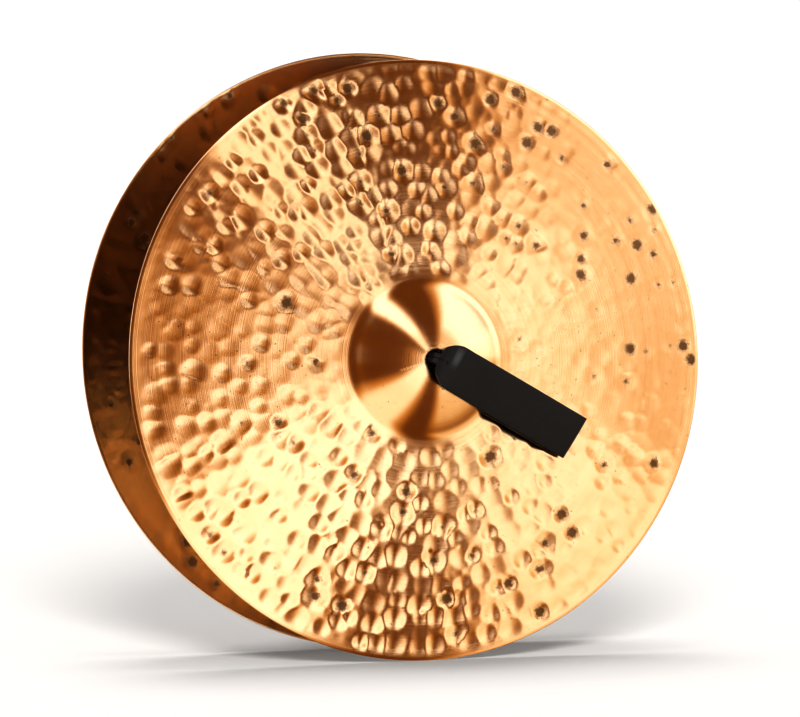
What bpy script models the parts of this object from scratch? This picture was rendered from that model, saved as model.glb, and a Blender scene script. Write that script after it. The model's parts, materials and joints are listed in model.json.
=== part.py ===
"""A pair of clash cymbals standing on edge, one behind the other, each with its leather hand strap.

Run with: blender --background --python part.py
Metres, +Z up, the floor at Z = 0. A cymbal's own frame has the rim's outer edge at z = 0 and its
axis along +z, out through the top of the bell. A strap's own frame turns about that axis, with +x the
way the strap lies and +y across its width.
"""

from math import cos, hypot, pi, radians, sin, sqrt

import bmesh
import bpy
from mathutils import Matrix, Vector
from mathutils.geometry import interpolate_bezier

# The cymbal
CYMBAL_RADIUS = 0.2286
CYMBAL_HEIGHT = 0.042  # top of the bell above the rim
BELL_RADIUS = 0.059
BELL_HEIGHT = 0.0215
BELL_BLEND = 0.0025  # softens the crease where the bell meets the bow
BOW_CROWN = 0.0029  # how far the bow rises above a straight cone
HOLE_RADIUS = 0.00635
BELL_WALL = 0.0015
RIM_WALL = 0.0009
FACETS = 80
BELL_STEPS = 6
BOW_STEPS = 5

# The strap's hand loop
STRAP_WIDTH = 0.035
STRAP_REACH = 0.136  # from the cymbal's axis to the fold's far side
LEATHER = 0.0026
NECK_WIDTH = 0.009
NECK_RADIUS = 0.0052  # of the gathered thongs where they leave the hole
SHOULDER_LENGTH = 0.028  # over which the strap widens from the neck
LEG_RISE = 0.0077  # of the outer leg above the neck's centre
FOLD_RADIUS = 0.0027
LOOP_BOW = 0.0065  # how far the inner leg bows away from the outer one
STRAP_ROLL = radians(12)  # the strap's upper edge stands off the cymbal

# The strap's knot inside the bell
THONG_WIDTH = 0.011
SHANK_GAP = 0.00045  # between the thongs and the wall of the hole
KNOT_WIDTH = 0.027
KNOT_CORNER = 0.008
KNOT_DEPTH = 0.0075
TUCK_WIDTH = 0.0119  # of the flat that each thong shows across its quarter of the knot
TUCK_TILT = radians(9)  # each thong of the knot dips under the next
TAIL_ROOT = 0.0054  # how far each tail starts inside the knot
TAIL_OFFSET = 0.0065  # each tail's middle beside the axis
TAIL_REACH = 0.042

# How the pair stands
LEAN = radians(5.79)
CYMBAL_SPACING = 0.0993  # between the two rims, along the floor
CYMBAL_SHIFT = 0.0066  # of the rear cymbal to the left
FRONT_STRAP_TURN = radians(-28.3)
REAR_STRAP_TURN = radians(-90)  # it hangs straight down, clear of its leaning cymbal

TOUCH_GAP = 0.0003  # between pieces that touch
REST_GAP = 0.0006  # under the hand loop where it lies on the bow
TAIL_GAP = 0.0006

BRONZE = (0.78, 0.49, 0.19, 1.0)
LEATHER_BLACK = (0.012, 0.012, 0.013, 1.0)

PIVOT_HEIGHT = CYMBAL_HEIGHT + TOUCH_GAP + NECK_RADIUS


# The cymbal's shape


def outer_height(r):
    """The convex side: a dome for the bell and a gently crowned bow, blended at the crease."""
    bow_height = CYMBAL_HEIGHT - BELL_HEIGHT
    share = (r - BELL_RADIUS) / (CYMBAL_RADIUS - BELL_RADIUS)
    bow = bow_height * (1 - share) + 4 * BOW_CROWN * share * (1 - share)
    dome_radius = (BELL_RADIUS**2 + BELL_HEIGHT**2) / (2 * BELL_HEIGHT)
    if r >= dome_radius:
        return bow
    dome = CYMBAL_HEIGHT - dome_radius + sqrt(dome_radius**2 - r**2)
    near = max(BELL_BLEND - abs(dome - bow), 0) / BELL_BLEND
    return max(dome, bow) + near**2 * BELL_BLEND / 4


def wall_at(r):
    return BELL_WALL + (RIM_WALL - BELL_WALL) * r / CYMBAL_RADIUS


def inner_height(r):
    """The hollow side, one wall below the convex side, measured square to it."""
    step = 0.0005
    slope = (outer_height(r) - outer_height(r - step)) / step
    return outer_height(r) - wall_at(r) * sqrt(1 + slope**2)


def profile_radii():
    """Closer together round the crease than along the bow."""
    bell = [HOLE_RADIUS + (BELL_RADIUS - HOLE_RADIUS) * n / BELL_STEPS for n in range(BELL_STEPS)]
    bow_start = BELL_RADIUS + BELL_BLEND
    bow = [bow_start + (CYMBAL_RADIUS - bow_start) * n / BOW_STEPS for n in range(BOW_STEPS + 1)]
    return bell + [BELL_RADIUS - BELL_BLEND / 2, BELL_RADIUS + BELL_BLEND / 2] + bow


def cymbal_mesh():
    """One turned sheet of bronze: out along the convex side, round the rim and back inside."""
    radii = profile_radii()
    outline = [(r, outer_height(r)) for r in radii]
    outline += [(r, inner_height(r)) for r in reversed(radii)]
    mesh = bpy.data.meshes.new("cymbal_profile")
    count = len(outline)
    mesh.from_pydata(
        [(r, 0, z) for r, z in outline], [(n, (n + 1) % count) for n in range(count)], []
    )
    cymbal = new_object("cymbal_profile", mesh)
    screw = cymbal.modifiers.new("turn", "SCREW")
    screw.steps = screw.render_steps = FACETS
    screw.use_merge_vertices = True
    screw.merge_threshold = 0.00001
    return finished_mesh(cymbal)


# The strap's shape


def half_width_at(x):
    """From the gathered neck, out round the shoulder, to the full width."""
    if x >= SHOULDER_LENGTH:
        return STRAP_WIDTH / 2
    inside = max(1 - (1 - max(x, 0) / SHOULDER_LENGTH) ** 2, 0)
    return max(NECK_WIDTH / 2, STRAP_WIDTH / 2 * sqrt(inside))


def rolled(point):
    """Turns a point of the loop about the strap's middle line, less and less towards the neck."""
    share = min(max(point.x / SHOULDER_LENGTH, 0), 1)
    turn = Matrix.Rotation(STRAP_ROLL * share * share * (3 - 2 * share), 3, "X")
    middle = Vector((point.x, 0, LEG_RISE - FOLD_RADIUS))
    return middle + turn @ (point - middle)


def loop_path():
    """(x, z) along the loop's middle: up from the neck, out, round the fold and back."""
    bend_end = SHOULDER_LENGTH * 0.3
    fold_x = STRAP_REACH - FOLD_RADIUS - LEATHER / 2
    neck = interpolate_bezier(
        Vector((-NECK_RADIUS * 0.3, 0, NECK_RADIUS * 0.2)),
        Vector((-NECK_RADIUS * 0.2, 0, LEG_RISE * 0.9)),
        Vector((bend_end * 0.3, 0, LEG_RISE)),
        Vector((bend_end, 0, LEG_RISE)),
        8,
    )
    path = [(p.x, p.z) for p in neck]
    path += [(SHOULDER_LENGTH * share, LEG_RISE) for share in (0.42, 0.56, 0.75, 1)]
    fold_steps = 6
    for n in range(fold_steps + 1):
        angle = pi * n / fold_steps
        path.append(
            (fold_x + FOLD_RADIUS * sin(angle), LEG_RISE - FOLD_RADIUS * (1 - cos(angle)))
        )
    leg_steps = 12
    for n in range(leg_steps - 1, -1, -1):
        share = n / leg_steps
        spread = 2 * FOLD_RADIUS + LOOP_BOW * sin(pi * share) ** 2
        path.append((bend_end + (fold_x - bend_end) * share, LEG_RISE - spread))
    path.append((NECK_RADIUS * 0.35, LEG_RISE - 2 * FOLD_RADIUS - NECK_RADIUS * 0.1))
    return path


def loop_edges():
    """The two edges of the strap at each step of its path."""
    return [
        [rolled(Vector((x, side * half_width_at(x), z))) for side in (-1, 1)]
        for x, z in loop_path()
    ]


def lay_down_angle():
    """How far the loop turns down about the neck before its underside rests on the cymbal."""
    down = Vector((0, 0, -LEATHER / 2))
    below = [edge + down for pair in loop_edges() for edge in (*pair, (pair[0] + pair[1]) / 2)]
    below = [p for p in below if p.x > NECK_RADIUS]
    steep, flat = radians(40), radians(-20)
    while steep - flat > 1e-6:
        angle = (steep + flat) / 2
        turn = Matrix.Rotation(angle, 3, "Y")
        laid = [turn @ p for p in below]
        least = min(p.z + PIVOT_HEIGHT - outer_height(hypot(p.x, p.y)) for p in laid)
        if least < REST_GAP:
            steep = angle
        else:
            flat = angle
    return flat


def strip(name, pairs, thickness):
    """A ribbon of leather through pairs of edge points, given its thickness."""
    mesh = bpy.data.meshes.new(name)
    points = [tuple(p) for pair in pairs for p in pair]
    faces = [(2 * n, 2 * n + 1, 2 * n + 3, 2 * n + 2) for n in range(len(pairs) - 1)]
    mesh.from_pydata(points, [], faces)
    ribbon = new_object(name, mesh)
    solid = ribbon.modifiers.new("thickness", "SOLIDIFY")
    solid.thickness = thickness
    solid.offset = 0
    solid.use_even_offset = True
    return ribbon


def loop_mesh():
    """The hand loop and its gathered neck, whose middle is on the hinge's line."""
    ribbon = strip("loop_ribbon", loop_edges(), LEATHER)
    neck = ball("loop_neck", NECK_RADIUS)
    return joined(ribbon, [neck])


def knot_top():
    """Height of the knot's upper face, just clear of the inside of the bell at its corners."""
    corner = KNOT_WIDTH / 2 * sqrt(2) - KNOT_CORNER * (sqrt(2) - 1)
    return inner_height(corner) - TOUCH_GAP


def knot_mesh():
    """The thongs through the hole, crowned over one another in a square, with their four tails."""
    top = knot_top()
    crown = box("knot_crown", (KNOT_WIDTH, KNOT_WIDTH, KNOT_DEPTH))
    crown.location.z = top - KNOT_DEPTH / 2
    rounded = crown.modifiers.new("corners", "BEVEL")
    rounded.width = KNOT_CORNER
    rounded.segments = 3
    rounded.affect = "EDGES"
    rounded.limit_method = "WEIGHT"
    mark_upright_edges(crown.data)
    shank_foot = top - KNOT_DEPTH / 2
    shank = cylinder("knot_shank", HOLE_RADIUS - SHANK_GAP, shank_foot, CYMBAL_HEIGHT)
    thongs = [shank]
    for quarter in range(4):
        turn = Matrix.Rotation(quarter * pi / 2, 4, "Z")
        thongs += [tuck(turn, top - KNOT_DEPTH), tail(turn, top)]
    return joined(crown, thongs)


def tuck(turn, level):
    """One thong's flat across a quarter of the knot's face, dipping under the next thong."""
    flat = box("knot_tuck", (TUCK_WIDTH, TUCK_WIDTH, LEATHER))
    tilt = Matrix.Rotation(TUCK_TILT, 4, "Y")
    place = Matrix.Translation((KNOT_WIDTH / 4, KNOT_WIDTH / 4, level))
    flat.data.transform(turn @ place @ tilt)
    return flat


def tail(turn, top):
    """A thong's free end, from the knot's side out along the inside of the bell."""
    start, steps = KNOT_WIDTH / 2 - TAIL_ROOT, 6
    pairs = []
    for n in range(steps + 1):
        x = start + (TAIL_REACH - start) * n / steps
        edges = [Vector((x, TAIL_OFFSET + side * THONG_WIDTH / 2, 0)) for side in (-1, 1)]
        for edge in edges:
            under = inner_height(hypot(edge.x, edge.y)) - TAIL_GAP - LEATHER / 2
            edge.z = min(under, top - LEATHER)
        pairs.append(edges)
    thong = strip("knot_tail", pairs, LEATHER)
    thong.data.transform(turn)
    return thong


# Small helpers


def new_object(name, mesh):
    made = bpy.data.objects.new(name, mesh)
    cutters.objects.link(made)
    made.hide_render = True
    made.display_type = "WIRE"
    return made


def from_bmesh(name, made):
    mesh = bpy.data.meshes.new(name)
    made.to_mesh(mesh)
    made.free()
    return new_object(name, mesh)


def box(name, size):
    made = bmesh.new()
    bmesh.ops.create_cube(made, size=1)
    bmesh.ops.scale(made, vec=size, verts=made.verts)
    return from_bmesh(name, made)


def ball(name, radius):
    made = bmesh.new()
    bmesh.ops.create_uvsphere(made, u_segments=20, v_segments=12, radius=radius)
    return from_bmesh(name, made)


def cylinder(name, radius, low, high):
    made = bmesh.new()
    bmesh.ops.create_cone(
        made, cap_ends=True, segments=24, radius1=radius, radius2=radius, depth=high - low
    )
    bmesh.ops.translate(made, vec=(0, 0, (low + high) / 2), verts=made.verts)
    return from_bmesh(name, made)


def mark_upright_edges(mesh):
    """Gives a bevel weight to the edges that stand up, so that only they are rounded."""
    weights = mesh.attributes.new("bevel_weight_edge", "FLOAT", "EDGE")
    for edge in mesh.edges:
        a, b = (mesh.vertices[v].co for v in edge.vertices)
        weights.data[edge.index].value = float(abs(a.z - b.z) > 1e-6)


def finished_mesh(made):
    """The object's mesh with its modifiers carried out, in the object's parent's frame."""
    bpy.context.view_layer.update()
    evaluated = made.evaluated_get(bpy.context.evaluated_depsgraph_get())
    mesh = bpy.data.meshes.new_from_object(evaluated)
    mesh.transform(made.matrix_world)
    bpy.data.objects.remove(made)
    return mesh


def joined(base, additions):
    """One closed body from the base and the shapes that overlap it."""
    for added in additions:
        union = base.modifiers.new("union", "BOOLEAN")
        union.operation = "UNION"
        union.solver = "EXACT"
        union.object = added
    mesh = finished_mesh(base)
    for added in additions:
        bpy.data.objects.remove(added)
    return mesh


def finish(name, colour, metallic, roughness):
    material = bpy.data.materials.new(name)
    material.use_nodes = True
    shader = material.node_tree.nodes["Principled BSDF"]
    shader.inputs["Base Color"].default_value = colour
    shader.inputs["Metallic"].default_value = metallic
    shader.inputs["Roughness"].default_value = roughness
    material.diffuse_color = colour
    return material


def piece(name, mesh, parent, material):
    """A named sub-part in its parent's frame, shaded smooth except at real edges."""
    made = bpy.data.objects.new(name, mesh.copy())
    made.data.name = name
    made.data.shade_smooth()
    made.data.set_sharp_from_angle(angle=radians(35))
    made.data.materials.append(material)
    made.parent = parent
    cymbals.objects.link(made)
    return made


def guide(name, parent, location=(0, 0, 0), rotation=(0, 0, 0)):
    """An empty that carries pieces, on the line of the joint that moves them."""
    made = bpy.data.objects.new(name, None)
    made.empty_display_size = 0.03
    made.location = location
    made.rotation_euler = rotation
    made.parent = parent
    cymbals.objects.link(made)
    return made


def collection(name):
    made = bpy.data.collections.new(name)
    bpy.context.scene.collection.children.link(made)
    return made


# The pair


def dressed_cymbal(side, pair, location, rotation, strap_turn, strap_slope):
    """A cymbal with its strap: the knot turns in the hole, and the loop lifts at the neck."""
    stand = guide(side + "_stand", pair, location, rotation)
    bronze = finish(side + "_bronze", BRONZE, 1.0, 0.25)
    cymbal = piece(side + "_cymbal", CYMBAL_MESH, stand, bronze)
    cymbal.rotation_euler.z = pi / FACETS  # a flat of the rim is lowest, not a corner
    swivel = guide(side + "_strap_swivel", stand, rotation=(0, 0, strap_turn))
    thongs = finish(side + "_thong_leather", LEATHER_BLACK, 0.0, 0.5)
    piece(side + "_strap_knot", KNOT_MESH, swivel, thongs)
    lift = guide(side + "_strap_lift", swivel, (0, 0, PIVOT_HEIGHT), (0, strap_slope, 0))
    grip = finish(side + "_strap_leather", LEATHER_BLACK, 0.0, 0.4)
    piece(side + "_strap_loop", LOOP_MESH, lift, grip)


def centre_on_floor(pair):
    """Moves the pair so that the floor's origin is under the middle of its box."""
    bpy.context.view_layer.update()
    corners = [
        made.matrix_world @ vertex.co
        for made in cymbals.objects
        if made.type == "MESH"
        for vertex in made.data.vertices
    ]
    low = Vector([min(p[k] for p in corners) for k in range(3)])
    high = Vector([max(p[k] for p in corners) for k in range(3)])
    pair.location -= Vector(((low.x + high.x) / 2, (low.y + high.y) / 2, low.z))
    bpy.context.view_layer.update()


for old in list(bpy.data.objects):
    bpy.data.objects.remove(old)
cymbals = collection("clash_cymbals")
cutters = collection("cutters")

CYMBAL_MESH = cymbal_mesh()
LOOP_MESH = loop_mesh()
KNOT_MESH = knot_mesh()

pair = guide("pair", None)
lowest = CYMBAL_RADIUS * cos(pi / FACETS)  # from the axis to the middle of a flat of the rim
dressed_cymbal(
    "front",
    pair,
    (CYMBAL_SHIFT / 2, -CYMBAL_SPACING / 2, lowest * cos(LEAN) + RIM_WALL * sin(LEAN)),
    (pi / 2 - LEAN, 0, 0),
    FRONT_STRAP_TURN,
    lay_down_angle(),
)
dressed_cymbal(
    "rear",
    pair,
    (-CYMBAL_SHIFT / 2, CYMBAL_SPACING / 2, lowest * cos(LEAN)),
    (pi / 2 + LEAN, 0, pi),
    REAR_STRAP_TURN,
    -LEAN,
)
centre_on_floor(pair)
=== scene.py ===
"""The looks of a pair of hammered clash cymbals with black leather hand straps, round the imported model.

Laid out as an add-on and run as a script. Metres, +Z up, the floor at Z = 0. A cymbal's own frame has
the rim's outer edge at z = 0 and its axis along +z, out through the top of the bell. A strap's own frame
starts where its thongs leave the hole, with +x the way the strap lies and +y across its width.
"""

import json
from math import cos, hypot, pi, radians, sin, sqrt

import bmesh
import bpy
from mathutils import Matrix, Vector
from mathutils.geometry import interpolate_bezier


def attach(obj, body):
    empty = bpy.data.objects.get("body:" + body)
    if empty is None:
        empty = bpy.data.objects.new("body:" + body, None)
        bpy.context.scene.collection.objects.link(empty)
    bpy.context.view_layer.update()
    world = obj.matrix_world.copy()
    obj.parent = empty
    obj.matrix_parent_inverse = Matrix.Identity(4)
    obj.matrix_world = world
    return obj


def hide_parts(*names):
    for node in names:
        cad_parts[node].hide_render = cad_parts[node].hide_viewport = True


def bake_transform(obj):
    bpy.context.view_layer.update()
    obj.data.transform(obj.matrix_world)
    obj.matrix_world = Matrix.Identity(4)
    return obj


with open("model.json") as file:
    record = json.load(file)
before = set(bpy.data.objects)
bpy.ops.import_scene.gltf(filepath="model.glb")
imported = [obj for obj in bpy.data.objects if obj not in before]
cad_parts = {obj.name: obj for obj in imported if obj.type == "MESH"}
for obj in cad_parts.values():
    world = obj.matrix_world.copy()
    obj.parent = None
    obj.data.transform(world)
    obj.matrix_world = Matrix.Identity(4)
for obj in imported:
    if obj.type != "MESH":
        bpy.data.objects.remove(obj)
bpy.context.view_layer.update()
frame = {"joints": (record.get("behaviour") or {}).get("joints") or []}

bl_info = {
    "name": "Clash Cymbals",
    "version": (1, 0, 0),
    "blender": (4, 5, 0),
    "location": "View3D > Sidebar > Cymbals",
    "description": "Makes a pair of hammered clash cymbals with their leather hand straps",
    "category": "Add Mesh",
}

SIDES = ("front", "rear")

# The turned shape of a cymbal
CYMBAL_RADIUS = 0.2286
ROUND_RIM_RADIUS = 0.22842  # the true circle inside the model's faceted rim
CYMBAL_HEIGHT = 0.042
BELL_RADIUS = 0.059
BELL_HEIGHT = 0.0215
BELL_BLEND = 0.0025  # softens the crease where the bell meets the bow
BOW_CROWN = 0.0029  # how far the bow rises above a straight cone
HOLE_RADIUS = 0.00635
BELL_WALL = 0.0015
RIM_WALL = 0.0009
RIM_RINGS = 3  # of the mesh that round the rim's edge, and the hole's
HOLE_RINGS = 6  # of the grid that make way for the hole
SEWING_DISTANCE = 0.00002  # at which the two faces of the sheet are joined

# The hammering
FIRST_SEED = 7
SEED_STEP = 20  # from one cymbal to the next
DEEP_SEED_STEP = 10  # from the shallow marks to the deep ones
STRAY = 0.38  # how far a mark lies off the spiral, as a share of the spacing
MARK_SIZES = (0.65, 1.15)  # the least and the greatest, as shares of the given radius
LEAST_DEPTH = 0.3  # as a share of the given depth
MARK_CURVE = 1.3  # 1 would be a plain bowl, and more eases its edge
LIGHT_SIDE = radians(45)  # the middle of the lightly hammered side, from the strap's direction
LIGHT_SIDE_EDGE = (0.2, 0.9)  # cosines from its middle, between which the blows get weaker
PLAIN_BAND = (0.003, 0.012)  # out from the bell's edge, between which the blows get stronger
PLAIN_RIM = 0.009  # in from the rim's edge
WAVE_SCALE = 26.0  # of the sheet's slow waves, per metre
WAVE_SEED_STEP = 0.7

# The dark skin, which is left in spots in the deepest marks
SPOT_RADIUS = 0.0040
SPOT_CORE = (0.0008, -0.0012)  # from the spot's radius, where its dark middle starts and is full
SPOT_HALO = 0.0024  # from the spot's radius, where its paler edge starts
SPOT_WANDER = 0.004  # how far its edge strays
SPOT_LEAST_DEPTH = 0.85  # of the blow, in millimetres
SPOT_PATCHES = 1.2  # how much more skin there is in some patches, in millimetres of that depth
SPOT_SIDE = 0.16  # the same, towards the lightly hammered side

# The hand strap
STRAP_WIDTH = 0.035
STRAP_REACH = 0.136
LEATHER = 0.0026
NECK_RADIUS = 0.0052
SHOULDER_LENGTH = 0.028
ROUND_END = 0.018  # from the back of the strap's round end to its full width
OUTER_END = -0.003  # where the round end of the outer leg starts
INNER_END = 0.006  # where that of the inner leg does
LEG_RISE = 0.0075  # of the outer leg over the neck's centre, a little under the model's
FOLD_RADIUS = 0.0026  # of the fold at the far end, a little under the model's
LOOP_BOW = 0.0065  # how far the inner leg bows away from the outer one
STRAP_ROLL = radians(12)
STRAP_SLOPE = {"front": radians(12.683), "rear": radians(-5.79)}  # down, from the rim's plane
TOUCH_GAP = 0.0003
PIVOT_HEIGHT = CYMBAL_HEIGHT + TOUCH_GAP + NECK_RADIUS
STEM_ASIDE = 0.0016  # from the axis to the thongs of each leg, in the hole
STEM_DEPTH = 0.0072  # how far the thongs reach below the neck's centre
STEM_STEP = 0.0012
STEM_HALF_WIDTH = 0.0038
SPREAD_RISE = (-0.001, 0.006)  # heights between which the gathered thongs spread
SPREAD_RUN = (0.003, 0.010)  # and distances from the axis
BEND_RISE = (-0.004, 0.002)  # heights between which the strap takes up its slope
BEND_RUN = (0.002, 0.006)  # and distances from the axis
SLIT_HALF_WIDTH = 0.00022
SLIT_END = 0.003
SLIT_TAPER = 0.003
CUP = 0.0005  # how far the strap's edges bend down
EDGE_ROUND = 0.26  # of the leather's thickness
SHARP_ANGLE = radians(50)
PAINTED_HIGHLIGHT_PLACE = (0.0112, 0.0075)  # the painted highlight, a paler colour on the bend at the round end: along the strap and across
PAINTED_HIGHLIGHT_REACH = (0.0038, 0.0085)

# The knot, as it is tied in the model
KNOT_WIDTH = 0.027
KNOT_CORNER = 0.008
KNOT_DEPTH = 0.0075
THONG_WIDTH = 0.011
THONG_CORNER = 0.35  # of the leather's thickness
THONGS = 4
TAIL_OFFSET = 0.0065
TAIL_START = 0.0035  # out from the knot's edge
TAIL_REACH = 0.042
TAIL_GAP = 0.0006

# The view
IMAGE_WIDTH = 800
CAMERA_TURN = radians(-18.94)
CAMERA_BACK = 6.9734  # from the hole of the front cymbal
CAMERA_ASIDE = 0.0124
CAMERA_UP = 0.8386  # above the floor
CAMERA_PITCH = radians(85)
CAMERA_PIXELS = 9214.0  # focal length in pixels of the image
SENSOR = 36.0
EXPOSURE = 0.3
GAMMA = 0.72

# Where the light comes from, as seen in the front cymbal by the camera: each panel fans round the
# mirror direction between two angles, counted from the right hand over the top, and two distances
# from it. Its sides and its ends fade over a number of degrees. It lies all round unless it is only
# ahead of the pair or behind it, and some are cut into strips.
MIRROR_TURN = radians(19.1)
MIRROR_RISE = radians(6)
DIM_LEVEL = 0.10  # of the room between the panels
PANELS = (  # angles, distances, fading of sides and ends, level and kind
    ((-78, 68), (0, 27), (20, 8), 0.50, ()),
    ((-8, 68), (27, 100), (20, 8), 0.84, ()),
    ((-80, -8), (27, 64), (12, 8), 0.60, ()),
    ((-78, 68), (0, 16), (20, 6), 0.13, ()),
    ((-22, 60), (0, 13), (24, 5), 0.20, ()),
    ((10, 60), (0, 13), (24, 6), 0.12, ()),
    ((12, 60), (28, 100), (20, 8), 0.12, ()),
    ((-80, -24), (10, 27), (16, 5), 0.28, ()),
    ((198, 250), (0, 26), (20, 8), 0.88, ()),
    ((204, 250), (26, 100), (20, 8), 0.74, ("ahead",)),
    ((130, 252), (30, 120), (30, 8), 0.72, ("behind", "strips")),
    ((122, 204), (78, 130), (20, 8), 0.76, ("ahead", "strips")),
    ((124, 200), (0, 12), (12, 5), 0.50, ()),
    ((150, 200), (0, 23), (24, 5), 0.40, ()),
    ((108, 133), (0, 27), (10, 8), 0.80, ()),
    ((109, 129), (27, 100), (8, 8), 0.96, ()),
)
STRIP_PERIOD = 40  # degrees from one strip to the next
STRIP_DIP = 0.25  # level between two strips, as a share
GLIMPSES = (  # bright openings, for light that goes to and fro between the cymbals
    ((138, 176), (40, 62), (12, 6), ("behind",)),
    ((220, 240), (60, 80), (8, 6), ("behind",)),
    ((8, 66), (27, 80), (12, 6), ("ahead",)),
    ((242, 264), (26, 44), (8, 6), ("ahead",)),
)
GLIMPSE_COLOUR = (0.90, 1.20, 1.80, 1)
BETWEEN_COLOUR = (0.020, 0.006, 0.003, 1)  # all else that such light meets
BOUNCE_COLOUR = (0.020, 0.020, 0.020, 1)  # what the floor gets of the room by way of the bronze
ROOM_COLOUR = (0.96, 0.98, 1.0, 1)
BACKDROP_STRENGTH = 1.3  # as the camera sees it
PANEL_STRENGTH = 1.8
PANEL_TONES = (  # colours by level, the darkest part of the room and the brightest panel first
    (0.00, (0.070, 0.020, 0.005)),
    (1.00, (1.400, 1.450, 1.750)),
    (0.12, (0.185, 0.072, 0.015)),
    (0.35, (0.500, 0.235, 0.050)),
    (0.50, (0.640, 0.350, 0.110)),
    (0.65, (0.780, 0.565, 0.325)),
    (0.80, (1.000, 0.960, 0.900)),
    (0.90, (1.150, 1.180, 1.260)),
)
LAMPS = (  # the setting with its strength, its breadth in degrees and where it points
    ("front_lamp", 18, (0.24, 0.86, -0.55)),
    ("overhead_lamp", 34, (-0.06, -0.24, -0.97)),
)
LAMP_COLOUR = (1.0, 0.97, 0.93)
FLOOR_REACH = 60


# Formulas as nodes


class Field:
    """A number inside a node tree. Arithmetic on it adds the nodes that work it out."""

    def __init__(self, socket):
        self.socket = socket

    def __add__(self, other):
        return calc("ADD", self, other)

    def __radd__(self, other):
        return calc("ADD", other, self)

    def __sub__(self, other):
        return calc("SUBTRACT", self, other)

    def __rsub__(self, other):
        return calc("SUBTRACT", other, self)

    def __mul__(self, other):
        return calc("MULTIPLY", self, other)

    def __rmul__(self, other):
        return calc("MULTIPLY", other, self)

    def __truediv__(self, other):
        return calc("DIVIDE", self, other)

    def __rtruediv__(self, other):
        return calc("DIVIDE", other, self)


def plug(value, socket):
    """Joins a field, or a plain value, to a socket."""
    if isinstance(value, Field):
        socket.id_data.links.new(value.socket, socket)
    else:
        socket.default_value = value


def named(sockets, name):
    return next(s for s in sockets if s.name == name and s.enabled)


def node(tree, kind, settings=None, **inputs):
    """Adds a node, sets its properties and joins its inputs, given by name with _ for a space."""
    made = tree.nodes.new(kind)
    count = len(tree.nodes)
    made.location = (190 * (count % 14), -210 * (count // 14))
    for name, value in (settings or {}).items():
        setattr(made, name, value)
    for name, value in inputs.items():
        plug(value, named(made.inputs, name.replace("_", " ")))
    return made


def out(made, name):
    return Field(named(made.outputs, name))


def calc(operation, *values):
    tree = next(v.socket.id_data for v in values if isinstance(v, Field))
    made = node(tree, "ShaderNodeMath", {"operation": operation})
    for socket, value in zip(made.inputs, values):
        plug(value, socket)
    return Field(made.outputs[0])


def larger(a, b):
    return calc("MAXIMUM", a, b)


def smaller(a, b):
    return calc("MINIMUM", a, b)


def size_of(a):
    return calc("ABSOLUTE", a)


def clamped(a):
    return smaller(larger(a, 0), 1)


def eased(a, start, end):
    """0 up to start, 1 from end on, and a smooth step between them, which may run down."""
    share = clamped((a - start) / (end - start))
    return share * share * (3 - 2 * share)


def root(a):
    return calc("SQRT", larger(a, 0))


def vector(tree, x, y, z):
    return out(node(tree, "ShaderNodeCombineXYZ", X=x, Y=y, Z=z), "Vector")


def parts_of(field):
    made = node(field.socket.id_data, "ShaderNodeSeparateXYZ", Vector=field)
    return [out(made, axis) for axis in "XYZ"]


def noise(tree, place, scale, detail=2.0, roughness=0.5, dimensions="3D"):
    """A soft pattern from 0 to 1. In one dimension the place is a number."""
    kind = {"noise_dimensions": dimensions}
    made = node(tree, "ShaderNodeTexNoise", kind, Scale=scale, Detail=detail, Roughness=roughness)
    plug(place, named(made.inputs, "W" if dimensions == "1D" else "Vector"))
    return Field(made.outputs[0])


def mixed(tree, share, a, b):
    """A colour between two, which may be colours or fields."""
    made = node(tree, "ShaderNodeMix", {"data_type": "RGBA"})
    plug(share, named(made.inputs, "Factor"))
    plug(a, named(made.inputs, "A"))
    plug(b, named(made.inputs, "B"))
    return Field(next(s for s in made.outputs if s.enabled))


# The cymbals


def outer_height(r):
    """The convex side: a dome for the bell and a crowned bow, blended at the crease."""
    bow_height = CYMBAL_HEIGHT - BELL_HEIGHT
    share = (r - BELL_RADIUS) / (CYMBAL_RADIUS - BELL_RADIUS)
    bow = bow_height * (1 - share) + 4 * BOW_CROWN * share * (1 - share)
    dome_radius = (BELL_RADIUS**2 + BELL_HEIGHT**2) / (2 * BELL_HEIGHT)
    dome = CYMBAL_HEIGHT - dome_radius + root(dome_radius**2 - r * r)
    near = larger(BELL_BLEND - size_of(dome - bow), 0) / BELL_BLEND
    return larger(dome, bow) + near * near * (BELL_BLEND / 4)


def wall_height(r):
    """The wall, measured along the axis, so that it is thicker where the shape is steep."""
    step = 0.0005
    slope = (outer_height(r) - outer_height(r - step)) / step
    wall = BELL_WALL + (RIM_WALL - BELL_WALL) / CYMBAL_RADIUS * r
    return wall * root(1 + slope * slope)


def round_grid(tree, rings, hole_rings):
    """A square grid whose rings become circles, with the ring, cosine and sine of each point."""
    points = 2 * rings + 1
    grid = node(tree, "GeometryNodeMeshGrid", Size_X=2, Size_Y=2, Vertices_X=points, Vertices_Y=points)
    x, y, _ = parts_of(out(node(tree, "GeometryNodeInputPosition"), "Position"))
    across = calc("GREATER_THAN", size_of(x) + 1e-6, size_of(y))  # a corner counts as across
    major = across * x + (1 - across) * y
    minor = across * y + (1 - across) * x
    turn = minor / major * (pi / 4)
    sign = calc("SIGN", major)
    along, aside = sign * calc("COSINE", turn), sign * calc("SINE", turn)
    cosine = across * along + (1 - across) * aside
    sine = across * aside + (1 - across) * along
    ring = size_of(major)
    inside = calc("LESS_THAN", ring, (hole_rings - 0.5) / rings)
    kept = node(
        tree,
        "GeometryNodeDeleteGeometry",
        {"domain": "POINT"},
        Geometry=out(grid, "Mesh"),
        Selection=inside,
    )
    return out(kept, "Geometry"), ring * rings, cosine, sine


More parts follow.
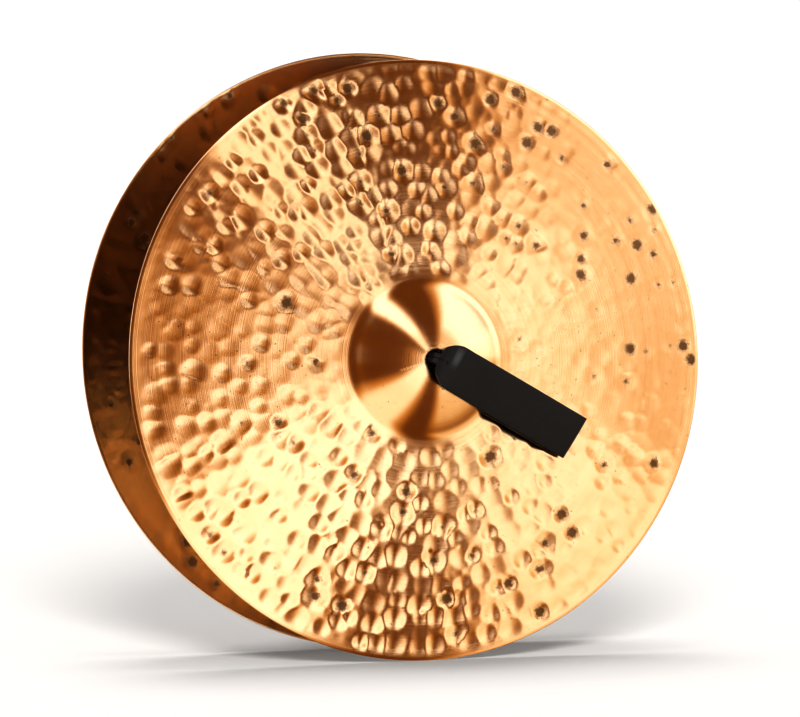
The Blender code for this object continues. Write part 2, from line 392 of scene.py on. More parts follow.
def hammer_marks(tree, x, y, start, end, spacing, radius, depth, seed):
    """One mark a step along a spiral, a little out of place, each with its own size and depth."""
    index = out(node(tree, "GeometryNodeInputIndex"), "Index")
    reach = root(start * start + index * spacing * spacing / pi)
    turn = reach * (2 * pi) / spacing
    spot = vector(tree, reach * calc("COSINE", turn), reach * calc("SINE", turn), 0)
    astray = node(tree, "FunctionNodeRandomValue", {"data_type": "FLOAT_VECTOR"}, Seed=seed)
    plug((-1, -1, 0), named(astray.inputs, "Min"))
    plug((1, 1, 0), named(astray.inputs, "Max"))
    shift = node(tree, "ShaderNodeVectorMath", {"operation": "SCALE"}, Scale=spacing * STRAY)
    plug(out(astray, "Value"), shift.inputs[0])
    place = node(tree, "ShaderNodeVectorMath", {"operation": "ADD"})
    plug(spot, place.inputs[0])
    plug(out(shift, "Vector"), place.inputs[1])
    count = (end * end - start * start) * pi / (spacing * spacing)
    blows = node(tree, "GeometryNodePoints", Count=count, Position=out(place, "Vector"))
    blows = out(blows, "Points" if "Points" in blows.outputs else "Geometry")
    here = vector(tree, x, y, 0)
    nearest = node(tree, "GeometryNodeSampleNearest", Geometry=blows, Sample_Position=here)
    nearest = out(nearest, "Index")
    struck = node(tree, "GeometryNodeSampleIndex", {"data_type": "FLOAT_VECTOR"}, Geometry=blows)
    plug(out(node(tree, "GeometryNodeInputPosition"), "Position"), named(struck.inputs, "Value"))
    plug(nearest, named(struck.inputs, "Index"))
    away = node(tree, "ShaderNodeVectorMath", {"operation": "DISTANCE"})
    plug(here, away.inputs[0])
    plug(out(struck, "Value"), away.inputs[1])
    away = out(away, "Value")

    def chance(low, high, number):
        made = node(tree, "FunctionNodeRandomValue", {"data_type": "FLOAT"}, Min=low, Max=high)
        plug(nearest, named(made.inputs, "ID"))
        plug(seed + number, named(made.inputs, "Seed"))
        return out(made, "Value")

    own_radius = radius * chance(*MARK_SIZES, 1)
    luck = chance(0, 1, 2)
    own_depth = depth * (LEAST_DEPTH + (1 - LEAST_DEPTH) * luck * luck)
    share = away / own_radius
    dent = calc("POWER", larger(1 - share * share, 0), MARK_CURVE) * own_depth
    spot_x, spot_y, _ = parts_of(out(struck, "Value"))
    return dent, (spot_x, spot_y, own_depth)


CYMBAL_INPUTS = (
    ("Fine spacing", "NodeSocketFloat", "fine_spacing"),
    ("Fine radius", "NodeSocketFloat", "fine_radius"),
    ("Fine depth", "NodeSocketFloat", "fine_depth"),
    ("Deep spacing", "NodeSocketFloat", "deep_spacing"),
    ("Deep radius", "NodeSocketFloat", "deep_radius"),
    ("Deep depth", "NodeSocketFloat", "deep_depth"),
    ("Wave depth", "NodeSocketFloat", "wave_depth"),
    ("Light side", "NodeSocketFloat", "light_side"),
    ("Seed", "NodeSocketInt", "seed"),
    ("Bronze", "NodeSocketMaterial", None),
)


def cymbal_tree(rings):
    """The sheet of bronze: two hammered faces that meet in a rounded rim and round the hole."""
    tree = bpy.data.node_groups.new("hammered_cymbal", "GeometryNodeTree")
    tree.interface.new_socket("Geometry", in_out="INPUT", socket_type="NodeSocketGeometry")
    for name, kind, _ in CYMBAL_INPUTS:
        tree.interface.new_socket(name, in_out="INPUT", socket_type=kind)
    tree.interface.new_socket("Geometry", in_out="OUTPUT", socket_type="NodeSocketGeometry")
    given = node(tree, "NodeGroupInput")
    faces = [hammered_face(tree, given, rings, inner) for inner in (False, True)]
    both = node(tree, "GeometryNodeJoinGeometry")
    for face in reversed(faces):
        tree.links.new(face.socket, both.inputs[0])
    sewn = node(
        tree, "GeometryNodeMergeByDistance", Geometry=out(both, "Geometry"), Distance=SEWING_DISTANCE
    )
    cut = node(tree, "GeometryNodeTriangulate", Mesh=out(sewn, "Geometry"))
    smooth = node(tree, "GeometryNodeSetShadeSmooth", Geometry=out(cut, "Mesh"))
    real = node(tree, "GeometryNodeRealizeInstances", Geometry=out(smooth, "Geometry"))
    dressed = node(
        tree, "GeometryNodeSetMaterial", Geometry=out(real, "Geometry"), Material=out(given, "Bronze")
    )
    result = node(tree, "NodeGroupOutput")
    plug(out(dressed, "Geometry"), result.inputs[0])
    return tree


def hammered_face(tree, given, rings, inner):
    """The convex face with the rounded edges of rim and hole, or the hollow face between them."""
    first = HOLE_RINGS + (0 if inner else RIM_RINGS)
    last = rings - (0 if inner else RIM_RINGS)
    mesh, ring, cosine, sine = round_grid(tree, rings, HOLE_RINGS)
    share = clamped((ring - first) / (last - first))
    rim_share = clamped((ring - last) / RIM_RINGS)
    hole_share = clamped((first - ring) / RIM_RINGS)
    hole_edge, rim_edge = HOLE_RADIUS + BELL_WALL / 2, ROUND_RIM_RADIUS - RIM_WALL / 2
    r = hole_edge + (rim_edge - hole_edge) * share
    if not inner:
        r = r + RIM_WALL / 2 * calc("SINE", rim_share * pi)
        r = r - BELL_WALL / 2 * calc("SINE", hole_share * pi)
    x, y = r * cosine, r * sine
    seed = out(given, "Seed")
    start, end = BELL_RADIUS * 1.06, ROUND_RIM_RADIUS
    towards = cosine * cos(LIGHT_SIDE) + sine * sin(LIGHT_SIDE)
    force = 1 - out(given, "Light side") * eased(towards, *LIGHT_SIDE_EDGE)
    force = force * (1.08 - 0.34 * towards * towards)  # strongest at right angles to that side
    fine_mark = [out(given, "Fine " + name) for name in ("spacing", "radius", "depth")]
    fine, _ = hammer_marks(tree, x, y, start, end, *fine_mark, seed)
    deep_mark = [out(given, "Deep " + name) for name in ("spacing", "radius", "depth")]
    deep, blow = hammer_marks(tree, x, y, start, end * 0.98, *deep_mark, seed + DEEP_SEED_STEP)
    plain, full = (BELL_RADIUS + band for band in PLAIN_BAND)
    hammered = eased(r, plain, full) * eased(r, rim_edge, rim_edge - PLAIN_RIM)
    place = vector(tree, x, y, seed * WAVE_SEED_STEP)
    wave = noise(tree, place, WAVE_SCALE, 1.0) * out(given, "Wave depth")
    dent = (larger(fine, deep * force) + wave) * hammered
    wall = wall_height(r)
    if inner:
        z = outer_height(r) - wall - dent
        profile = 2 - ring / rings
    else:
        under = larger(rim_share, hole_share)
        z = outer_height(r) - wall * (0.5 - 0.5 * calc("COSINE", under * pi)) - dent
        profile = ring / rings
    mesh = kept_values(tree, mesh, "POINT", profile=profile, turning_radius=r)
    mesh = kept_values(tree, mesh, "POINT", deep_mark=deep * hammered, flat_place=vector(tree, x, y, 0))
    mesh = kept_values(tree, mesh, "FACE", blow=vector(tree, *blow))
    placed = node(tree, "GeometryNodeSetPosition", Geometry=mesh, Position=vector(tree, x, y, z))
    face = turned_map(tree, out(placed, "Geometry"))
    if inner:
        face = out(node(tree, "GeometryNodeFlipFaces", Mesh=face), "Mesh")
    return face


def kept_values(tree, mesh, domain, **values):
    """Keeps values with the mesh for the finish, numbers or vectors."""
    for name, value in values.items():
        kind = "FLOAT_VECTOR" if value.socket.type == "VECTOR" else "FLOAT"
        kinds = {"data_type": kind, "domain": domain}
        stored = node(tree, "GeometryNodeStoreNamedAttribute", kinds)
        plug(mesh, named(stored.inputs, "Geometry"))
        named(stored.inputs, "Name").default_value = name
        plug(value, named(stored.inputs, "Value"))
        mesh = out(stored, "Geometry")
    return mesh


def turned_map(tree, mesh):
    """A map whose first axis runs out along the profile and whose second runs round the cymbal."""
    x, y, _ = parts_of(out(node(tree, "GeometryNodeInputPosition"), "Position"))
    round_share = calc("ARCTAN2", y, x) / (2 * pi)
    middle = node(tree, "GeometryNodeFieldOnDomain", {"data_type": "FLOAT_VECTOR", "domain": "FACE"})
    plug(out(node(tree, "GeometryNodeInputPosition"), "Position"), middle.inputs[0])
    mx, my, _ = parts_of(Field(middle.outputs[0]))
    face_share = calc("ARCTAN2", my, mx) / (2 * pi)
    unwrapped = round_share - calc("ROUND", round_share - face_share)
    profile = node(tree, "GeometryNodeInputNamedAttribute", {"data_type": "FLOAT"})
    named(profile.inputs, "Name").default_value = "profile"
    stored = node(tree, "GeometryNodeStoreNamedAttribute", {"data_type": "FLOAT2", "domain": "CORNER"})
    plug(mesh, named(stored.inputs, "Geometry"))
    named(stored.inputs, "Name").default_value = "turned"
    plug(vector(tree, out(profile, "Attribute"), unwrapped, 0), named(stored.inputs, "Value"))
    return out(stored, "Geometry")


def joint(name):
    return next(j for j in frame["joints"] if j["name"] == name)


def cymbal_frame(side):
    """The cymbal's own frame: its axis is the swivel's, and its strap lies along x."""
    swivel, lift = joint(side + "_strap_swivel"), joint(side + "_strap_lift")
    z = Vector(swivel["axis"]).normalized()
    across = -Vector(lift["axis"])
    y = (across - z * across.dot(z)).normalized()
    x = y.cross(z)
    turn = Matrix((x, y, z)).transposed().to_4x4()
    return Matrix.Translation(swivel["pos_m"]) @ turn


def bronze(settings):
    """Lathed bronze: bright grooves round the axis, with the dark skin left in the deepest marks."""
    material = bpy.data.materials.new("hammered_bronze")
    material.use_nodes = True
    tree = material.node_tree
    shader = tree.nodes["Principled BSDF"]

    def kept(name, part="Fac"):
        return out(node(tree, "ShaderNodeAttribute", {"attribute_name": name}), part)

    radius, mark = kept("turning_radius"), kept("deep_mark")
    place = out(node(tree, "ShaderNodeTexCoord"), "Object")
    broad = noise(tree, radius, 45.0, 4.0, 0.7, "1D")
    cloud = noise(tree, place, 9.0, 3.0, 0.6)
    speck = noise(tree, place, 420.0, 2.0, 0.5)
    redder = clamped((cloud - 0.35) * 1.6) * 0.6 + broad * 0.3
    colour = mixed(tree, redder, settings.gold, settings.amber)
    skin = left_skin(tree, place, mark, speck, kept("flat_place", "Vector"), kept("blow", "Vector"))
    fly_specks = eased(speck, 0.71, 0.76)
    colour = mixed(tree, larger(skin * 0.88, fly_specks * 0.7), colour, settings.skin)
    plug(colour, shader.inputs["Base Color"])
    shader.inputs["Metallic"].default_value = 1.0
    plug(0.13 + broad * 0.04 + skin * 0.25, shader.inputs["Roughness"])
    shader.inputs["Anisotropic"].default_value = 0.9
    tangent = node(tree, "ShaderNodeTangent", {"direction_type": "UV_MAP", "uv_map": "turned"})
    plug(out(tangent, "Tangent"), shader.inputs["Tangent"])
    grooves = noise(tree, radius, 1100.0, 2.0, 0.6, "1D")
    bump = node(tree, "ShaderNodeBump", Strength=0.25, Distance=0.0002, Height=grooves)
    plug(out(bump, "Normal"), shader.inputs["Normal"])
    return material


def left_skin(tree, place, mark, speck, flat, blow):
    """How much of the dark skin is left: ragged spots in the middle of the deepest marks."""
    x, y, _ = parts_of(flat)
    middle_x, middle_y, depth = parts_of(blow)
    off_x, off_y = x - middle_x, y - middle_y
    ragged = noise(tree, place, 800.0, 2.0, 0.6)
    away = root(off_x * off_x + off_y * off_y)
    away = away + (speck - 0.5) * SPOT_WANDER + (ragged - 0.5) * SPOT_WANDER
    patch = noise(tree, place, 14.0, 2.0, 0.6)
    aside = (x * cos(LIGHT_SIDE) + y * sin(LIGHT_SIDE)) / CYMBAL_RADIUS
    likely = depth * 1000 + (patch - 0.5) * SPOT_PATCHES + aside * SPOT_SIDE
    size = clamped((likely - SPOT_LEAST_DEPTH) * 4)
    edge = size * SPOT_RADIUS
    core_start, core_end = (edge + step for step in SPOT_CORE)
    spot = eased(away, core_start, core_end) * 0.65 + eased(away, edge + SPOT_HALO, edge) * 0.35
    return spot * clamped(size * 8) * eased(mark * 1000, 0.05, 0.20)


def plain_piece(name, mesh, body, replaced):
    """Takes a finished mesh in the world's frame as a piece of the object."""
    mesh.name = name
    made = bpy.data.objects.new(name, mesh)
    bpy.context.scene.collection.objects.link(made)
    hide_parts(replaced)
    if body:
        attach(made, body)
    return made


def evaluated_mesh(made):
    """The object's mesh with its modifiers carried out, and the object removed."""
    bpy.context.view_layer.update()
    graph = bpy.context.evaluated_depsgraph_get()
    mesh = bpy.data.meshes.new_from_object(made.evaluated_get(graph))
    bpy.data.objects.remove(made)
    return mesh


def hammered_cymbal(side, tree, settings, material, seed):
    """Hammers one cymbal by the tree, and lays it in its place."""
    name = side + "_hammered_cymbal"
    blank = bpy.data.objects.new(name + "_blank", bpy.data.meshes.new(name + "_blank"))
    bpy.context.scene.collection.objects.link(blank)
    modifier = blank.modifiers.new("hammered", "NODES")
    modifier.node_group = tree
    values = {key: getattr(settings, key) for _, _, key in CYMBAL_INPUTS if key and key != "seed"}
    values["seed"] = seed
    for item in tree.interface.items_tree:
        key = next((k for n, _, k in CYMBAL_INPUTS if n == item.name), None)
        if item.in_out == "INPUT" and key:
            modifier[item.identifier] = values[key]
        elif item.name == "Bronze":
            modifier[item.identifier] = material
    mesh = evaluated_mesh(blank)
    mesh.transform(cymbal_frame(side))
    return plain_piece(name, mesh, side + "_cymbal", side + "_cymbal")


# The hand straps


def strap_path():
    """(x, z) along the strap's middle, from one end of it in the hole, round the fold and back."""
    bend_end = SHOULDER_LENGTH * 0.3
    fold_x = STRAP_REACH - FOLD_RADIUS - LEATHER / 2
    low = LEG_RISE - 2 * FOLD_RADIUS
    stem_steps, leg_steps, fold_steps = 5, 40, 12
    path = [(-STEM_ASIDE, -STEM_DEPTH + STEM_DEPTH * n / stem_steps) for n in range(stem_steps)]
    path += bezier_points(
        (-STEM_ASIDE, 0),
        (-STEM_ASIDE, LEG_RISE * 0.75),
        (bend_end * 0.3, LEG_RISE),
        (bend_end, LEG_RISE),
        16,
    )
    leg_shares = [(n / leg_steps) ** 1.4 for n in range(1, leg_steps)]  # closer at the round end
    path += [(bend_end + (fold_x - bend_end) * share, LEG_RISE) for share in leg_shares]
    for n in range(fold_steps + 1):
        angle = pi * n / fold_steps
        path.append((fold_x + FOLD_RADIUS * sin(angle), LEG_RISE - FOLD_RADIUS * (1 - cos(angle))))
    for share in reversed(leg_shares):
        x = bend_end + (fold_x - bend_end) * share
        path.append((x, low - LOOP_BOW * sin(pi * share) ** 2))
    bent_down = low - NECK_RADIUS * 0.8
    path += bezier_points(
        (bend_end, low), (bend_end * 0.5, low), (STEM_ASIDE, low), (STEM_ASIDE, bent_down), 10
    )
    path += [(STEM_ASIDE, bent_down - n * STEM_STEP) for n in range(1, stem_steps)]
    return path


def bezier_points(a, b, c, d, count):
    """(x, z) points of the curve with these ends and handles."""
    points = interpolate_bezier(*[Vector((x, 0, z)) for x, z in (a, b, c, d)], count)
    return [(point.x, point.z) for point in points]


def half_width_at(x, z):
    """From the gathered thongs in the hole, round the strap's end, to the full width."""
    start = OUTER_END if z > LEG_RISE - FOLD_RADIUS else INNER_END
    share = min(max((x - start) / ROUND_END, 0), 1)
    wide = STRAP_WIDTH / 2 * sqrt(1 - (1 - share) ** 2)
    spread = max(smooth_share(z, *SPREAD_RISE), smooth_share(x, *SPREAD_RUN))
    return STEM_HALF_WIDTH + max(wide - STEM_HALF_WIDTH, 0) * spread


def smooth_share(value, start, end):
    """As eased, for a plain number."""
    share = min(max((value - start) / (end - start), 0), 1)
    return share * share * (3 - 2 * share)


def strap_mesh(side):
    """A sheet of leather, slit into thongs at both ends, given its thickness and rounded edges."""
    made = bmesh.new()
    rubbed = made.verts.layers.float.new("rubbed")
    columns = 5
    rows = []
    for x, z in strap_path():
        half = half_width_at(x, z)
        slit = SLIT_HALF_WIDTH * (1 - smooth_share(x, SLIT_END - SLIT_TAPER, SLIT_END))
        sides = []
        for hand in (-1, 1):
            row = []
            for n in range(columns + 1):
                if n == 0 and slit == 0 and sides:
                    row.append(sides[0][0])
                    continue
                y = hand * (slit + (half - slit) * n / columns)
                cup = CUP * (y / (STRAP_WIDTH / 2)) ** 2 * smooth_share(x, 0, SHOULDER_LENGTH)
                point = Vector((x, y, z - cup))
                spot = made.verts.new(laid_on_cymbal(point, side))
                # painted highlight on the outer leg's bend at the round end
                spot[rubbed] = painted_highlight_at(x, y) if z > LEG_RISE - FOLD_RADIUS else 0
                row.append(spot)
            sides.append(row)
        rows.append(sides)
    for here, there in zip(rows, rows[1:]):
        for hand in (0, 1):
            for n in range(columns):
                corners = [here[hand][n], here[hand][n + 1], there[hand][n + 1], there[hand][n]]
                made.faces.new(corners if hand else list(reversed(corners)))
    mesh = bpy.data.meshes.new("strap_sheet")
    made.to_mesh(mesh)
    made.free()
    return thickened(mesh)


def painted_highlight_at(x, y):
    """A painted highlight: the leather is made a little paler where it bends over at the round end, on
    one side of its middle, in place of the light that bend catches.
    """
    along = (x - PAINTED_HIGHLIGHT_PLACE[0]) / PAINTED_HIGHLIGHT_REACH[0]
    across = (y - PAINTED_HIGHLIGHT_PLACE[1]) / PAINTED_HIGHLIGHT_REACH[1]
    return max(1 - along**2, 0) * max(1 - across**2, 0)


def laid_on_cymbal(point, side):
    """A point of the strap, rolled about its middle line and sloped down to the bow past the neck."""
    roll = STRAP_ROLL * smooth_share(point.x, 0, SHOULDER_LENGTH)
    middle = Vector((point.x, 0, LEG_RISE - FOLD_RADIUS))
    point = middle + Matrix.Rotation(roll, 3, "X") @ (point - middle)
    bent = max(smooth_share(point.z, *BEND_RISE), smooth_share(point.x, *BEND_RUN))
    point = Matrix.Rotation(STRAP_SLOPE[side] * bent, 3, "Y") @ point
    return point + Vector((0, 0, PIVOT_HEIGHT))


def thickened(mesh):
    """The sheet as solid leather with rounded edges."""
    sheet = bpy.data.objects.new("sheet", mesh)
    bpy.context.scene.collection.objects.link(sheet)
    solid = sheet.modifiers.new("thickness", "SOLIDIFY")
    solid.thickness = LEATHER
    solid.offset = 0
    solid.use_even_offset = True
    edges = sheet.modifiers.new("edges", "BEVEL")
    edges.width = LEATHER * EDGE_ROUND
    edges.segments = 3
    edges.limit_method = "ANGLE"
    edges.angle_limit = SHARP_ANGLE
    return evaluated_mesh(sheet)


def hand_strap(side, material):
    mesh = strap_mesh(side)
    mesh.shade_smooth()
    mesh.transform(cymbal_frame(side))
    mesh.materials.append(material)
    made = plain_piece(side + "_hand_strap", mesh, None, side + "_strap_loop")
    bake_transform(made)
    return made


# The knots


def knot_top():
    """The height at which the knot's corners all but touch the bell from inside."""
    corner = KNOT_WIDTH / 2 * sqrt(2) - KNOT_CORNER * (sqrt(2) - 1)
    return plain_inner_height(corner) - TOUCH_GAP


def plain_inner_height(r):
    """The hollow side of the bell, as a plain number."""
    dome_radius = (BELL_RADIUS**2 + BELL_HEIGHT**2) / (2 * BELL_HEIGHT)
    fall = dome_radius - sqrt(dome_radius**2 - r * r)
    slope = r / sqrt(dome_radius**2 - r * r)
    wall = BELL_WALL + (RIM_WALL - BELL_WALL) * r / CYMBAL_RADIUS
    return CYMBAL_HEIGHT - fall - wall * sqrt(1 + slope * slope)


def thong_route():
    """(x, y, z, width) along one thong: down the hole, round its quarter of the knot, then its tail."""
    top = knot_top()
    shown = top - KNOT_DEPTH + LEATHER / 2
    tucked = shown + LEATHER
    edge = KNOT_WIDTH / 2
    side = TAIL_OFFSET
    tail_start = edge + TAIL_START
    route = [
        (-0.0016, 0.0024, CYMBAL_HEIGHT + 0.0012, 0.0043),
        (-0.0016, 0.0024, top - 0.0002, 0.0045),
        (-0.0040, 0.0040, top - 0.0019, 0.0070),
        (-edge + 0.0040, side, top - 0.0022, THONG_WIDTH),
        (-edge + 0.0014, side, (top + shown) / 2, THONG_WIDTH),
        (-edge + 0.0036, side, shown + 0.0002, THONG_WIDTH),
        (-0.0060, side, shown, THONG_WIDTH),
        (0.0005, side, (shown + tucked) / 2, THONG_WIDTH),
        (0.0065, side, tucked + 0.0002, THONG_WIDTH),
        (edge - 0.0012, side, tucked + 0.0010, THONG_WIDTH),
        (tail_start, side, top - LEATHER, THONG_WIDTH),
    ]
    tail_steps = 4
    for n in range(1, tail_steps + 1):
        x = tail_start + (TAIL_REACH - tail_start) * n / tail_steps
        bell = plain_inner_height(hypot(x, side + THONG_WIDTH / 2))
        route.append((x, side, min(bell - TAIL_GAP - LEATHER / 2, top - LEATHER), THONG_WIDTH))
    return route


def through(points, steps):
    """A smooth line through points of any number of values."""
    line = []
    for k in range(len(points) - 1):
        a, b = points[max(k - 1, 0)], points[k]
        c, d = points[k + 1], points[min(k + 2, len(points) - 1)]
        for n in range(steps):
            line.append([between(*values, n / steps) for values in zip(a, b, c, d)])
    return line + [list(points[-1])]


def between(p, q, r, s, t):
    """The share t of the way from q to r, on a smooth line that comes from p and goes on to s."""
    first = (r - p) * t
    second = (2 * p - 5 * q + 4 * r - s) * t**2
    third = (3 * q - p - 3 * r + s) * t**3
    return 0.5 * (2 * q + first + second + third)


def thong_mesh(made, quarter):
    """Lofts one thong of the knot, turned to its quarter."""
    line = through(thong_route(), 6)
    turn = Matrix.Rotation(quarter * 2 * pi / THONGS, 3, "Z")
    rings = []
    for k, (x, y, z, width) in enumerate(line):
        before, after = line[max(k - 1, 0)], line[min(k + 1, len(line) - 1)]
        along = Vector((after[0] - before[0], 0, after[2] - before[2])).normalized()
        normal = Vector((-along.z, 0, along.x))
        ring = []
        for across, up in rounded_section(width, LEATHER):
            point = Vector((x, y, z)) + Vector((0, across, 0)) + normal * up
            ring.append(made.verts.new(turn @ point))
        rings.append(ring)
    for here, there in zip(rings, rings[1:]):
        for n in range(len(here)):
            m = (n + 1) % len(here)
            made.faces.new((here[n], here[m], there[m], there[n]))
    made.faces.new(list(reversed(rings[0])))
    made.faces.new(rings[-1])


def rounded_section(width, thickness):
    """A flat thong's section, as points round it."""
    corner, steps = thickness * THONG_CORNER, 3
    points = []
    for k, (a, b) in enumerate(((1, 1), (-1, 1), (-1, -1), (1, -1))):
        middle = (a * (width / 2 - corner), b * (thickness / 2 - corner))
        for n in range(steps + 1):
            angle = pi / 2 * (k + n / steps)
            points.append((middle[0] + corner * cos(angle), middle[1] + corner * sin(angle)))
    return points


def crown_knot(side, material):
    """The square knot inside the bell, of four thongs that are each tucked under the next."""
    made = bmesh.new()
    for quarter in range(THONGS):
        thong_mesh(made, quarter)
    bmesh.ops.recalc_face_normals(made, faces=made.faces)
    mesh = bpy.data.meshes.new("knot")
    made.to_mesh(mesh)
    made.free()
    mesh.shade_smooth()
    mesh.set_sharp_from_angle(angle=SHARP_ANGLE)
    mesh.transform(cymbal_frame(side))
    mesh.materials.append(material)
    return plain_piece(side + "_crown_knot", mesh, side + "_strap_knot", side + "_strap_knot")


def leather(settings):
    """Smooth black strap leather with a fine grain, a soft, slightly uneven sheen, and a painted
    highlight on the bend at its round end.
    """
    material = bpy.data.materials.new("black_strap_leather")
    material.use_nodes = True
    tree = material.node_tree
    shader = tree.nodes["Principled BSDF"]
    place = out(node(tree, "ShaderNodeTexCoord"), "Object")
    cloud = noise(tree, place, 60.0, 3.0, 0.6)
    colour = mixed(tree, cloud, settings.dark, settings.light)
    # a painted highlight: a paler colour where the strap bends over at its round end
    rubbed = out(node(tree, "ShaderNodeAttribute", {"attribute_name": "rubbed"}), "Fac")
    colour = mixed(tree, rubbed, colour, settings.rubbed)
    plug(colour, shader.inputs["Base Color"])
    plug(0.34 + cloud * 0.14, shader.inputs["Roughness"])
    shader.inputs["Specular IOR Level"].default_value = 0.3
    grain = node(tree, "ShaderNodeTexVoronoi", {"feature": "DISTANCE_TO_EDGE"}, Scale=900.0)
    plug(place, named(grain.inputs, "Vector"))
    fine = noise(tree, place, 1500.0, 3.0, 0.6)
    height = smaller(out(grain, "Distance") * 3, 1) + fine * 0.5
    bump = node(tree, "ShaderNodeBump", Strength=0.35, Distance=0.0002, Height=height)
    plug(out(bump, "Normal"), shader.inputs["Normal"])
    return material


# The stage


def world_light(scene, settings):
    """A white room for the floor and the background, and a dark one with panels for what shines."""
    world = bpy.data.worlds.new("studio")
    scene.world = world
    world.use_nodes = True
    world.cycles.sampling_method = "NONE"
    tree = world.node_tree
    tree.nodes.clear()
    x, y, z = parts_of(out(node(tree, "ShaderNodeTexCoord"), "Generated"))
    behind = calc("GREATER_THAN", y, 0)
    flip = 1 - 2 * behind
    x, y = x * flip, y * flip
    right = x * cos(MIRROR_TURN) + y * sin(MIRROR_TURN)
    ahead = x * sin(MIRROR_TURN) - y * cos(MIRROR_TURN)
    rise = z * cos(MIRROR_RISE) - ahead * sin(MIRROR_RISE)
    ahead = ahead * cos(MIRROR_RISE) + z * sin(MIRROR_RISE)
    angle = calc("ARCTAN2", rise, right) * (180 / pi)
    away = calc("ARCCOSINE", ahead) * (180 / pi)

    strips = eased(calc("SINE", angle * (2 * pi / STRIP_PERIOD)), -0.6, 0.6)
    kinds = {"behind": behind, "ahead": 1 - behind, "strips": STRIP_DIP + (1 - STRIP_DIP) * strips}

    def panel(angles, distances, fading, kind):
        """How much of a panel lies this way."""
        (low, high), (near, far), (edge, spread) = angles, distances, fading
        middle, half = (low + high) / 2, (high - low) / 2
        off = size_of(calc("WRAP", angle - middle, 180.0, -180.0))
        amount = eased(off, half + edge / 2, half - edge / 2)
        amount = amount * eased(away, near - spread / 2, near + spread / 2)
        amount = amount * eased(away, far + spread, far - spread)
        for name in kind:
            amount = amount * kinds[name]
        return amount

    cloud = noise(tree, vector(tree, x, y, z), 7.0, 2.0, 0.6)
    level = DIM_LEVEL + (cloud - 0.5) * settings.panel_cloud
    for angles, distances, fading, strength, kind in PANELS:
        level = level + panel(angles, distances, fading, kind) * strength
    glimpse = 0
    for shape in GLIMPSES:
        glimpse = glimpse + panel(*shape)
    rays = node(tree, "ShaderNodeLightPath")
    to_and_fro = calc("GREATER_THAN", out(rays, "Glossy Depth"), 2.5)
    from_floor = calc("GREATER_THAN", out(rays, "Diffuse Depth"), 0.5)
    between_cymbals = mixed(tree, clamped(glimpse), BETWEEN_COLOUR, GLIMPSE_COLOUR)
    lit = mixed(tree, to_and_fro, panel_tone(tree, level), between_cymbals)
    lit = mixed(tree, from_floor, lit, BOUNCE_COLOUR)
    shiny = node(tree, "ShaderNodeBackground", Color=lit, Strength=settings.panel_strength)
    brighter = out(rays, "Is Camera Ray") * (BACKDROP_STRENGTH - settings.room_strength)
    strength = settings.room_strength + brighter
    room = node(tree, "ShaderNodeBackground", Color=ROOM_COLOUR, Strength=strength)
    which = node(tree, "ShaderNodeMixShader")
    plug(out(rays, "Is Glossy Ray"), which.inputs[0])
    plug(out(room, "Background"), which.inputs[1])
    plug(out(shiny, "Background"), which.inputs[2])
    plug(out(which, "Shader"), node(tree, "ShaderNodeOutputWorld").inputs[0])


def panel_tone(tree, level):
    """The colour of the light at a level, on a ramp that starts with its two end stops."""
    tone = node(tree, "ShaderNodeValToRGB", Fac=clamped(level))
    stops = tone.color_ramp.elements
    for n, (place, colour) in enumerate(PANEL_TONES):
        stop = stops[n] if n in (0, 1) else stops.new(place)
        stop.position = place
        stop.color = (*(part / PANEL_STRENGTH for part in colour), 1)
    return out(tone, "Color")


def floor_material():
    material = bpy.data.materials.new("pale_floor")
    material.use_nodes = True
    shader = material.node_tree.nodes["Principled BSDF"]
    shader.inputs["Base Color"].default_value = (0.92, 0.92, 0.92, 1)
    shader.inputs["Roughness"].default_value = 0.8
    return material


def floor():
    made = bmesh.new()
    bmesh.ops.create_grid(made, x_segments=1, y_segments=1, size=FLOOR_REACH)
    mesh = bpy.data.meshes.new("floor")
    made.to_mesh(mesh)
    made.free()
    mesh.materials.append(floor_material())
    ground = bpy.data.objects.new("floor", mesh)
    bpy.context.scene.collection.objects.link(ground)
    ground.visible_glossy = False


def lamps(settings):
    """Broad lamps in front, for the soft shadow behind the pair, and overhead, for that below it."""
    for name, breadth, aim in LAMPS:
        lamp = bpy.data.lights.new(name, "SUN")
        lamp.angle = radians(breadth)
        lamp.energy = getattr(settings, name)
        lamp.color = LAMP_COLOUR
        made = bpy.data.objects.new(name, lamp)
        made.rotation_euler = Vector(aim).to_track_quat("-Z", "Y").to_euler()
        made.visible_glossy = False
        bpy.context.scene.collection.objects.link(made)


def camera():
    lens = bpy.data.cameras.new("camera")
    lens.sensor_width = SENSOR
    lens.lens = CAMERA_PIXELS * SENSOR / IMAGE_WIDTH
    made = bpy.data.objects.new("camera", lens)
    middle = Vector(joint("front_strap_swivel")["pos_m"])
    offset = Matrix.Rotation(CAMERA_TURN, 3, "Z") @ Vector((-CAMERA_ASIDE, -CAMERA_BACK, 0))
    made.location = (middle.x + offset.x, middle.y + offset.y, CAMERA_UP)
    made.rotation_euler = (CAMERA_PITCH, 0, CAMERA_TURN)
    bpy.context.scene.collection.objects.link(made)
    bpy.context.scene.camera = made


# The add-on


def colour_property(name, description, default):
    return bpy.props.FloatVectorProperty(
        name=name, description=description, default=default, size=4, subtype="COLOR"
    )


